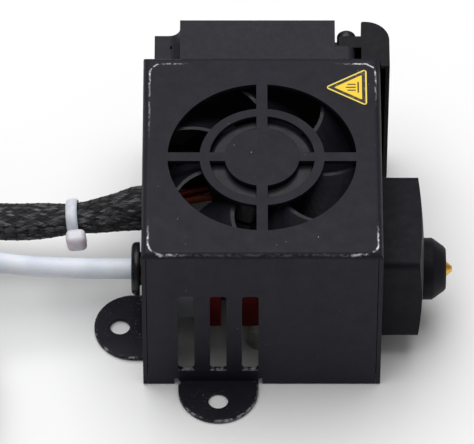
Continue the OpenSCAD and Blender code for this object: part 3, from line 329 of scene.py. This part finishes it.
def soften(width, *names):
    """Small rounded edges on CAD nodes, as paint and tools leave them."""
    for name in names:
        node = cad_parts[name]
        node.modifiers.new("weld", "WELD").merge_threshold = 0.002 * mm
        node.modifiers.new("smooth", "NODES").node_group = smoothing
        edge = node.modifiers.new("edge", "BEVEL")
        edge.width = width * mm
        edge.segments = 2
        edge.limit_method = "ANGLE"
        edge.angle_limit = math.radians(38)
        edge.miter_outer = "MITER_ARC"
        node.modifiers.new("even", "WEIGHTED_NORMAL").keep_sharp = False


def finish(material, *names):
    """These CAD nodes take the material."""
    for name in names:
        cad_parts[name].data.materials.clear()
        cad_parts[name].data.materials.append(material)


def box_edge(tree, x, y, centre, half, corner):
    """Distance to the outline of a rectangle with round corners, negative inside it, and how far each way."""
    out = []
    for at, c, h in zip((x, y), centre, half):
        off = add(tree, "Math", add(tree, "Math", at, c, operation="SUBTRACT"), operation="ABSOLUTE")
        out.append(add(tree, "Math", off, h - corner, operation="SUBTRACT"))
    far = [add(tree, "Math", q, 0.0, operation="MAXIMUM") for q in out]
    far = add(tree, "Math",
              add(tree, "Math", add(tree, "Math", far[0], far[0], operation="MULTIPLY"),
                  add(tree, "Math", far[1], far[1], operation="MULTIPLY"), operation="ADD"), operation="SQRT")
    near = add(tree, "Math", add(tree, "Math", *out, operation="MAXIMUM"), 0.0, operation="MINIMUM")
    edge = add(tree, "Math", add(tree, "Math", far, near, operation="ADD"), corner, operation="SUBTRACT")
    return edge, out


# Black powder coat: a faint orange peel with pale flecks, partly dust and partly painted glints, silvery
# where it is worn through, with painted highlights on the ears' rims and the vent slots' lower edges.
tree, shader, powder = new_material("powder_coat_black_on_steel", Specular_IOR_Level=0.17)
point = add(tree, "TexCoord", out="Object")
x, y, z = add(tree, "SeparateXYZ",
              add(tree, "VectorMath", point, None, None, 1 / mm, operation="SCALE")).node.outputs
cloud = add(tree, "MapRange", add(tree, "TexNoise", point, None, 1 / (14 * mm), 3, 0.6), 0.35, 0.65)
fleck = add(tree, "TexNoise", point, None, 1 / (0.22 * mm), 1.0, 0.6)
coat = add(tree, "MixRGB", cloud, linear("16151e"), linear("191822"))
# the pale flecks are partly dust and partly painted glints
coat = add(tree, "MixRGB", add(tree, "MapRange", fleck, 0.62, 0.74, 0, 0.4), coat, linear("35353b"))
# the line worn round the front panel, and its corners
panel_middle, panel_half, panel_corner = (0.15, 5.5), (21.4, 23.1), 2.4
edge, out = box_edge(tree, x, y, panel_middle, panel_half, panel_corner)
wobble = add(tree, "Math", add(tree, "TexNoise", point, None, 1 / (1.4 * mm), 3, 0.6), 0.5, -0.25,
             operation="MULTIPLY_ADD")
edge = add(tree, "Math", add(tree, "Math", edge, wobble, operation="ADD"), operation="ABSOLUTE")
corner = add(tree, "MapRange",
             add(tree, "Math", add(tree, "Math", *out, operation="ADD"), -0.6, operation="ADD"), -3.6, 0.2)
left_side = add(tree, "Math", add(tree, "MapRange", x, -20.6, -20.9), add(tree, "MapRange", y, 10, 16, 0, 0.34),
                operation="MULTIPLY")
right_side = add(tree, "Math", add(tree, "MapRange", x, 20.9, 21.2), add(tree, "MapRange", y, 18, 22, 0, 0.4),
                 operation="MULTIPLY")
near_side = add(tree, "MapRange", y, -16.9, -17.3, 0, 0.08)
where = add(tree, "Math",
            add(tree, "Math", add(tree, "Math", corner, 1.5, operation="POWER"), left_side,
                operation="MAXIMUM"), add(tree, "Math", right_side, near_side, operation="MAXIMUM"),
            operation="MAXIMUM")
patch = add(tree, "MapRange", add(tree, "TexNoise", point, None, 1 / (0.9 * mm), 4.0, 0.6), 0.4, 0.58)
worn = add(tree, "Math", add(tree, "Math", where, patch, operation="MULTIPLY"),
           add(tree, "MapRange", edge, 0.24, 0.04), operation="MULTIPLY")
worn = add(tree, "Math", worn, add(tree, "MapRange", z, 36.8, 37.4), operation="MULTIPLY")
# chips and scuffs all over, few on the panel and more on the ears' rims
chips = add(tree, "Math",
            add(tree, "MapRange", add(tree, "TexNoise", point, None, 1 / (0.6 * mm), 2.0, 0.6), 0.73, 0.76),
            add(tree, "MapRange", add(tree, "TexNoise", point, None, 1 / (11 * mm), 3, 0.6), 0.52, 0.62),
            operation="MULTIPLY")
rim = add(tree, "Math", add(tree, "MapRange", z, 1.2, 0.75),
          add(tree, "MapRange", add(tree, "TexNoise", point, None, 1 / (0.45 * mm), 2.0, 0.6), 0.62, 0.74, 0,
              0.3), operation="MULTIPLY")
ear_holes = ((-8.25, -19.9), (-24.4, -4.8))
# a painted highlight round the ears' outer rims, drawn patchy as bare metal, and at the lower ends of
# the vent slots partly wear and partly a painted highlight
for ear_at in ear_holes:
    away = add(tree, "VectorMath", add(tree, "CombineXYZ", x, y), ear_at + (0,), operation="DISTANCE",
               out="Value")
    ear_rim_painted_highlight = add(tree, "Math",
                 add(tree, "Math", add(tree, "MapRange", away, 7.25, 7.5),
                     add(tree, "MapRange", away, 8.2, 8.0), operation="MULTIPLY"),
                 add(tree, "MapRange", z, 1.3, 1.0), operation="MULTIPLY")
    worn = add(tree, "Math", worn,
               add(tree, "Math", ear_rim_painted_highlight,
                   add(tree, "MapRange", add(tree, "TexNoise", point, None, 1 / (1.2 * mm), 3, 0.6), 0.5, 0.62,
                       0, 0.4), operation="MULTIPLY"), operation="MAXIMUM")
# lower edges of the vent slots: partly wear and partly a painted highlight where the edge catches light
slot_edge_wear_and_highlight = add(tree, "Math",
           add(tree, "Math", add(tree, "MapRange", z, 4.5, 4.36), add(tree, "MapRange", z, 3.9, 4.2),
               operation="MULTIPLY"), add(tree, "MapRange", y, -17.1, -17.3), operation="MULTIPLY")
slot_start, slot_pitch = 17.325, 6.05    # of the vent slots along x
in_slot = add(tree, "Math", add(tree, "Math", x, slot_start, operation="ADD"), slot_pitch,
              operation="FLOORED_MODULO")
in_slot = add(tree, "Math", add(tree, "Math", in_slot, -slot_pitch / 2, operation="ADD"), operation="ABSOLUTE")
in_row = add(tree, "Math", add(tree, "MapRange", x, 0.5, 0.4), add(tree, "MapRange", x, -17, -16.5),
             operation="MULTIPLY")
slot_edge_wear_and_highlight = add(tree, "Math",
           add(tree, "Math", slot_edge_wear_and_highlight, add(tree, "MapRange", in_slot, 1.55, 1.45), operation="MULTIPLY"), in_row,
           operation="MULTIPLY")
worn = add(tree, "Math", worn,
           add(tree, "Math", slot_edge_wear_and_highlight,
               add(tree, "MapRange", add(tree, "TexNoise", point, None, 1 / (0.9 * mm), 3, 0.6), 0.42, 0.56, 0,
                   0.4), operation="MULTIPLY"), operation="MAXIMUM")
# bare metal from wear and chips, together with the painted highlights on the ears' rims and the slots' lower
# edges
bare_metal_and_highlight = add(tree, "Math", worn,
           add(tree, "Math", chips,
               add(tree, "Math", rim,
                   add(tree, "MapRange", add(tree, "TexNoise", point, None, 1 / (5 * mm), 3, 0.6), 0.48, 0.6),
                   operation="MULTIPLY"), operation="MAXIMUM"), operation="MAXIMUM")
tree.links.new(add(tree, "MixRGB", bare_metal_and_highlight, coat, linear("c9c9cc")), shader.inputs["Base Color"])
tree.links.new(add(tree, "Math", bare_metal_and_highlight, 0.6, operation="MULTIPLY"), shader.inputs["Metallic"])
tree.links.new(add(tree, "MapRange", add(tree, "TexNoise", point, None, 1 / (3 * mm), 3, 0.6), 0.3, 0.7, 0.46,
                   0.58), shader.inputs["Roughness"])
tree.links.new(add(tree, "Bump", 0.6, 0.035 * mm, None,
                   add(tree, "Math", bare_metal_and_highlight, -1.5,
                       add(tree, "Math", add(tree, "TexNoise", point, None, 1 / (0.5 * mm), 1.0, 0.6),
                           add(tree, "Math", fleck, 0.25, operation="MULTIPLY"), operation="ADD"),
                       operation="MULTIPLY_ADD")), shader.inputs["Normal"])
finish(powder, "shroud")
soften(0.12, "shroud")

# ---- printed triangle ----
# A film printed in yellow and black: a pale outline, a dark band and a yellow field with plain bars,
# glued to the corner of the front panel.
tree, shader, print_film = new_material("printed_film_yellow_black", Roughness=0.4, Specular_IOR_Level=0.3)
point = add(tree, "TexCoord", out="Object")
x, y, _ = add(tree, "SeparateXYZ",
              add(tree, "VectorMath", point, None, None, 1 / mm, operation="SCALE")).node.outputs
low, high = ([c * 1000 for c in corner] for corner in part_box("warning_label"))
side_in = 2.69               # from the middle of the triangle to its sides
middle = (high[0] - side_in, (low[1] + high[1]) / 2)
px = add(tree, "Math", x, middle[0], operation="SUBTRACT")
py = add(tree, "Math", y, middle[1], operation="SUBTRACT")
reach = []
for a in (0, 2 * math.pi / 3, -2 * math.pi / 3):
    reach.append(add(tree, "Math", py, math.sin(a), add(tree, "Math", px, math.cos(a), operation="MULTIPLY"),
                     operation="MULTIPLY_ADD"))
reach = add(tree, "Math", add(tree, "Math", reach[0], reach[1], 0.35, operation="SMOOTH_MAX"), reach[2], 0.35,
            operation="SMOOTH_MAX")
ink = None
# middle and half size of each bar
bars = ((-0.35, 0, 0.95, 0.14), (-0.2, 0.72, 0.8, 0.14), (-0.2, -0.72, 0.8, 0.14), (1.05, 0, 0.14, 1.35))
for cx, cy, hx, hy in bars:
    bar, _ = box_edge(tree, px, py, (cx, cy), (hx, hy), 0.1)
    bar = add(tree, "MapRange", bar, 0.04, -0.04)
    ink = bar if ink is None else add(tree, "Math", ink, bar, operation="MAXIMUM")
ink = add(tree, "Math", ink,
          add(tree, "Math", add(tree, "MapRange", reach, 1.72, 1.8), add(tree, "MapRange", reach, 2.44, 2.36),
              operation="MULTIPLY"), operation="MAXIMUM")
worn = add(tree, "MapRange", add(tree, "TexNoise", point, None, 1 / (0.8 * mm), 4.0, 0.6), 0.55, 0.75, 0, 0.35)
field = add(tree, "MixRGB", add(tree, "MapRange", reach, 2.35, 2.45), linear("f2cc30"), linear("efd765"))
field = add(tree, "MixRGB",
            add(tree, "MapRange", add(tree, "TexNoise", point, None, 1 / (3 * mm), 3, 0.6), 0.4, 0.7, 0, 0.3),
            field, linear("dcb428"))
tree.links.new(add(tree, "MixRGB",
                   add(tree, "Math", ink, add(tree, "Math", 1.0, worn, operation="SUBTRACT"),
                       operation="MULTIPLY"), field, linear("1c1a14")), shader.inputs["Base Color"])
tree.links.new(add(tree, "Bump", 1.0, 0.01 * mm, None, ink), shader.inputs["Normal"])
finish(print_film, "warning_label")

# ---- axial fan ----
# Frame and seven-bladed rotor are moulded in black PBT. Blades are glossy from the polished tool and
# carry flow lines; the frame is duller. It hangs on two studs behind the grille.


def coated(name, base, high, rough, size, depth, cloud=6.0, stretch=(1, 1, 1), dust=0.0, **sockets):
    """A moulded, machined or plated finish: cloudy colour, uneven gloss, and a grain of that size and depth."""
    tree, shader, made = new_material(name, **sockets)
    point = add(tree, "TexCoord", out="Object")
    fine = add(tree, "VectorMath", point, stretch, operation="MULTIPLY")
    colour = add(tree, "MixRGB",
                 add(tree, "MapRange", add(tree, "TexNoise", point, None, 1 / (cloud * mm), 3, 0.6), 0.35,
                     0.65), linear(base), linear(high))
    if dust:
        colour = add(tree, "MixRGB",
                     add(tree, "MapRange", add(tree, "TexNoise", point, None, 1 / (0.3 * mm), 4.0, 0.6), 0.6,
                         0.75, 0, dust), colour, linear("8a8a8c"))
    tree.links.new(colour, shader.inputs["Base Color"])
    tree.links.new(add(tree, "MapRange", add(tree, "TexNoise", fine, None, 1 / (5 * size * mm), 3, 0.6), 0.3,
                       0.7, rough - 0.07, rough + 0.07), shader.inputs["Roughness"])
    tree.links.new(add(tree, "Bump", 0.6, depth * mm, None,
                       add(tree, "TexNoise", fine, None, 1 / (size * mm), 2.0, 0.6)), shader.inputs["Normal"])
    return made


finish(coated("moulded_pbt_polished", "121118", "16151c", 0.36, 0.5, 0.012, stretch=(1, 1, 0.3), dust=0.05,
              Specular_IOR_Level=0.2), "fan_rotor", "blower_impeller")
finish(coated("moulded_pbt_dull", "0d0d10", "121216", 0.45, 0.3, 0.02, dust=0.05, Specular_IOR_Level=0.2),
       "fan_frame")
finish(coated("zinc_plated_steel", "a9abae", "c0c1c4", 0.3, 0.25, 0.01, Metallic=1.0), "fan_studs", "fan_nuts",
       "blower_nuts", "sensor_screw")
finish(coated("ground_shaft_steel", "b4b4b8", "c2c2c6", 0.22, 0.15, 0.006, stretch=(1, 1, 6), Metallic=1.0),
       "fan_shaft")
finish(coated("bonded_ferrite", "29292b", "313133", 0.6, 0.2, 0.02), "fan_magnet", "blower_magnet")
finish(coated("sintered_bronze", "8a6238", "a07444", 0.5, 0.12, 0.02, Metallic=0.8), "fan_bearing",
       "blower_bearing")
finish(coated("stamped_core_steel", "77787c", "8a8b8f", 0.4, 0.3, 0.03, stretch=(1, 1, 12), Metallic=0.9),
       "fan_stator")
finish(coated("stamped_core_steel_blower", "77787c", "8a8b8f", 0.4, 0.3, 0.03, stretch=(1, 12, 1),
              Metallic=0.9), "blower_stator")
finish(coated("enamelled_copper_wire", "8c4620", "b4683a", 0.3, 0.22, 0.06, stretch=(1, 1, 4), Metallic=0.7),
       "fan_coils", "blower_coils")
finish(coated("solder_resist_green", "0e4526", "15522f", 0.3, 0.5, 0.01), "fan_board", "blower_board")

# ---- blower ----
# Case and snap-on cover are moulded in black PBT with a fine eroded texture. The impeller behind the
# round intake has 27 curved blades. Two small cross-head screws hold it to the shroud.
blower_pbt = coated("moulded_pbt_eroded", "1c1b23", "1f1e27", 0.5, 0.2, 0.03, cloud=9, dust=0.05,
                    Specular_IOR_Level=0.2)
finish(blower_pbt, "blower_case", "blower_cover")
soften(0.1, "blower_case")
finish(coated("ground_shaft_steel_blower", "b4b4b8", "c2c2c6", 0.22, 0.15, 0.006, stretch=(1, 6, 1),
              Metallic=1.0), "blower_shaft")
black_screw = coated("black_oxide_steel", "101014", "18181d", 0.36, 0.2, 0.01, cloud=2, Specular_IOR_Level=0.35)
finish(black_screw, "blower_screw", "duct_screw", "sink_grub", "heater_grub", "block_screws")
soften(0.08, "blower_screw", "duct_screw")

# ---- air duct ----
# A thin-walled elbow moulded in black ABS, duller than the blower. An arm is screwed to the blower's
# lug, and its slot mouth blows down the shroud's side to the nozzle.
finish(coated("moulded_abs_matt", "0b0b0f", "0e0e13", 0.5, 0.25, 0.03, dust=0.05, Specular_IOR_Level=0.15),
       "air_duct")
soften(0.12, "air_duct")

# ---- heat sink ----
# Milled from extruded aluminium and anodised red; the cutter's marks run across the fins. It stands on
# two nickel-plated brass sleeves, and a zinc-plated strap ties the coupler's end to the side wall.
finish(coated("anodised_aluminium_red", "5a080b", "6c0d11", 0.34, 0.16, 0.02, stretch=(6, 1, 1), Metallic=0.85),
       "heat_sink")
soften(0.12, "heat_sink")
finish(coated("nickel_plated_brass", "9c9a92", "b3b1a8", 0.25, 0.18, 0.012, Metallic=1.0), "sink_standoffs",
       "coupler_body")
finish(coated("zinc_plated_strap", "9a9da0", "adb0b2", 0.34, 0.3, 0.012, stretch=(1, 0.2, 1), Metallic=1.0),
       "sink_bracket")

# ---- tube coupler ----
# The black acetal release ring and its steel claws slide in the plated body; a nitrile ring seals the
# tube, which runs on inside as a liner down to the nozzle.
finish(coated("moulded_acetal_black", "0e0e12", "141418", 0.3, 0.4, 0.012, dust=0.05, Specular_IOR_Level=0.25),
       "coupler_collet")
soften(0.1, "coupler_collet")
finish(coated("spring_steel", "a6a8ab", "b6b8bb", 0.25, 0.2, 0.01, Metallic=1.0), "coupler_claws")
finish(coated("nitrile_rubber", "101012", "161618", 0.6, 0.3, 0.02), "coupler_seal")
finish(ptfe, "tube_liner")

# ---- heater block ----
# Machined aluminium with a pressed-in steel cartridge, a glass-sleeved sensor under a pan screw, two
# long screws back to the heat sink, and a steel heat break.
finish(coated("machined_aluminium", "a2a3a6", "b4b5b8", 0.36, 0.14, 0.015, stretch=(1, 1, 8), Metallic=1.0),
       "heater_block")
soften(0.15, "heater_block")
finish(coated("heat_tinted_steel", "8e8672", "a39c8c", 0.28, 0.2, 0.01, cloud=2.5, stretch=(1, 6, 1),
              Metallic=1.0), "heater_cartridge", "heat_break")
finish(coated("glass_fibre_sleeve", "c9bfa2", "dbd2b8", 0.75, 0.16, 0.06, stretch=(1, 3, 1)),
       "temperature_sensor")

# ---- nozzle ----
# Turned brass, bright at the tip and tarnished towards the block; the tool's rings run round its axis.
tree, shader, brass = new_material("turned_brass", Metallic=1.0)
point = add(tree, "TexCoord", out="Object")
x, _, _ = add(tree, "SeparateXYZ",
              add(tree, "VectorMath", point, None, None, 1 / mm, operation="SCALE")).node.outputs
rings = add(tree, "Math", add(tree, "Math", x, 7.0, operation="MULTIPLY"), 1.0, operation="PINGPONG")
heat = add(tree, "MapRange",
           add(tree, "Math", x, add(tree, "TexNoise", point, None, 1 / (1.5 * mm), 3, 0.6), operation="ADD"),
           31, 35.8)
tree.links.new(add(tree, "MixRGB", heat, linear("8a6426"), linear("d9ab55")), shader.inputs["Base Color"])
tree.links.new(add(tree, "MapRange", add(tree, "TexNoise", point, None, 1 / (0.6 * mm), 3, 0.6), 0.3, 0.7, 0.2,
                   0.36), shader.inputs["Roughness"])
tree.links.new(add(tree, "Bump", 0.7, 0.012 * mm, None, rings), shader.inputs["Normal"])
finish(brass, "nozzle")
soften(0.08, "nozzle")

# ---- silicone sock ----
# Moulded black silicone, stretched over the block: matt, a little dusty, with soft edges and a faint
# mottle from the mould.
finish(coated("silicone_moulded_matt", "0f0e15", "131219", 0.56, 0.35, 0.03, cloud=4, dust=0.06,
              Specular_IOR_Level=0.12), "silicone_sock")
soften(0.45, "silicone_sock")

# ---- leads and their ends ----
# Silicone leads run to the heater, glass-sleeved ones to the sensor and PVC leads to the fans, from the
# harness's end to each piece. At the harness's other end a shrunk sleeve holds the braid, and short
# black leads run to three nylon plugs. Black nylon ties hold both coils.
block_at = [c * 1000 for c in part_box("heater_block")[0]]
heater_at = Vector((block_at[0] + 5, 10, 20.5))
sensor_at = Vector((block_at[0] + 2.5, 10, 9.1))
start = Vector((-18.8, 12, 16.4))
lead_lines = []
for side in (-1, 1):
    lead_lines += [("heater_lead", ("9a3c12", "7e1512")[side > 0], 0.7,
                    [start + Vector((0, side * 0.9, 1.4)), (-10, 13 + side, 19.4), (2, 14.4 + side, 20.6),
                     (11, 14.4, 21.2 + side), heater_at + Vector((-5, 2.5, 0.6 + side)),
                     heater_at + Vector((-0.6, 1.3, side)), heater_at + Vector((0, 0.02, side))]),
                   ("sensor_lead", "d8cfae", 0.4,
                    [start + Vector((0, side * 0.8, -1.8)), (-9, 12.4 + side * 0.7, 12.6),
                     (2, 12.8 + side * 0.7, 11), (13, 13.4 + side * 0.7, 9.8),
                     sensor_at + Vector((-1, 2.8, 0.55 * side)), sensor_at + Vector((0, 1.5, 0.45 * side)),
                     sensor_at + Vector((0, 0.62, 0.45 * side))]),
                   ("fan_lead", ("b8862e", "24479c")[side > 0], 0.45,
                    [start + Vector((0, 1.5 + 0.7 * side, -0.4)), (-16, 16.2 + side * 0.7, 19),
                     (-11.5, 16 + side * 0.7, 23.6), (-8.2, 10.95 + side * 0.7, 26.4),
                     (-6.4, 9.75 + side * 0.7, 27.55)]),
                   ("blower_lead", ("1f3f94", "c9a23a")[side > 0], 0.5,
                    [start + Vector((0, 3, side + 0.7)), (-17.9, 19, 15.2 + 0.8 * side),
                     (-17, 24, 14.6 + 0.8 * side), (-17, 28.6, 14.5 + 0.8 * side),
                     (-17, 31.2, 14.5 + 0.8 * side)])]
for number, (name, colour, radius, points) in enumerate(lead_lines):
    wire = curve_through(name + ("_a", "_b")[number // 4], points, radius, steps=6, sides=4)
    bpy.ops.object.select_all(action="DESELECT")
    wire.select_set(True)
    bpy.context.view_layer.objects.active = wire
    bpy.ops.object.convert(target="MESH")
    wire = bpy.context.object
    wire.data.materials.append(coated("extruded_" + name + "_" + colour, colour, colour, 0.42, 0.6, 0.03,
                                      dust=0.1, Specular_IOR_Level=0.35))
    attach(wire, "hotend")
    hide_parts(name + "s")
finish(coated("shrunk_polyolefin", "111113", "18181a", 0.42, 0.8, 0.08, stretch=(1, 0.25, 1)), "wire_ends")
finish(nylon, "connectors")
soften(0.2, "connectors")
finish(coated("moulded_nylon_black", "131315", "19191b", 0.4, 0.4, 0.03), "feed_tube_tie", "wire_sleeve_tie")
soften(0.25, "feed_tube_tie", "wire_sleeve_tie")

# ---- floor and light ----
# A plain white paper floor. One large soft box hangs over the blower's side, so that the top faces are
# lighter than the vent wall, and the room adds a little from all around.
bpy.context.scene.view_settings.view_transform = "Standard"
bpy.ops.object.select_all(action="DESELECT")
bpy.ops.mesh.primitive_plane_add(size=6, location=(0, 0, -0.0002))
floor = bpy.context.object
floor.name = "floor"
tree, shader, paper = new_material("white_paper", Roughness=0.95, Specular_IOR_Level=0.0)
tree.links.new(add(tree, "MixRGB",
                   add(tree, "TexNoise", add(tree, "TexCoord", out="Object"), None, 1 / 0.2, 3, 0.6),
                   linear("f4f4f4"), linear("f8f8f8")), shader.inputs["Base Color"])
floor.data.materials.append(paper)

world = bpy.data.worlds.new("studio")
world.use_nodes = True
world.node_tree.nodes["Background"].inputs[0].default_value = (1, 1, 1, 1)
world.node_tree.nodes["Background"].inputs[1].default_value = 0.28
bpy.context.scene.world = world


def soft_box(name, place, size, power, target=(0, 0, 0.02)):
    """A square lamp that faces the target."""
    lamp = bpy.data.objects.new(name, bpy.data.lights.new(name, "AREA"))
    lamp.data.size, lamp.data.energy = size, power
    lamp.location = place
    lamp.rotation_euler = (Vector(place) - Vector(target)).to_track_quat("Z", "Y").to_euler()
    bpy.context.collection.objects.link(lamp)


soft_box("overhead", (-0.1, 0.25, 1.1), 1.2, 14.5)
